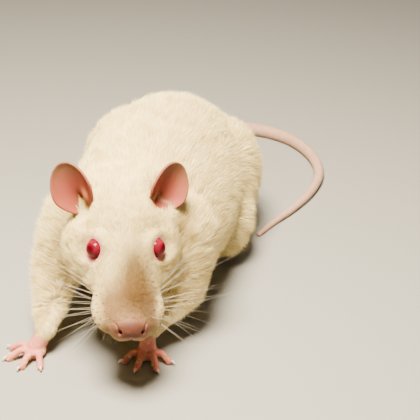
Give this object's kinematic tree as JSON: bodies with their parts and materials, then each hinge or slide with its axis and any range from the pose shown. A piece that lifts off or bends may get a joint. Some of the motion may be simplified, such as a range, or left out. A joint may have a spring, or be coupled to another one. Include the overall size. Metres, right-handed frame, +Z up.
{
  "type": "pet rat",
  "caption": "Life-size still model of an adult white pet rat standing with its head lowered and turned slightly to its left, tail laid round its side.",
  "frame": {"origin": "middle of the whole model's box, tail included, on the floor under its feet", "axes": "+Z up; +Y towards the rump, so the head is at -Y; +X to the rat's own left"},
  "size_m": [0.0998, 0.2342, 0.0685],
  "materials": {
    "coat": "short warm white fur, matt with a faint sheen",
    "pink_skin": "bare pink skin, fine wrinkles and scales, soft gloss",
    "eye": "wet clear cornea over a ruby red eye"
  },
  "bodies": {
    "root": {"head": "coat", "neck": "coat", "torso": "coat", "hindquarters": "coat", "foreleg_left": "coat", "foreleg_right": "coat", "thigh_left": "coat", "thigh_right": "coat", "ear_left": "pink_skin", "ear_right": "pink_skin", "forefoot_left": "pink_skin", "forefoot_right": "pink_skin", "hindfoot_left": "pink_skin", "hindfoot_right": "pink_skin", "tail_root": "pink_skin", "tail_upper": "pink_skin", "tail_middle": "pink_skin", "tail_lower": "pink_skin", "tail_tip": "pink_skin", "eye_left": "eye", "eye_right": "eye"}
  },
  "joints": []
}
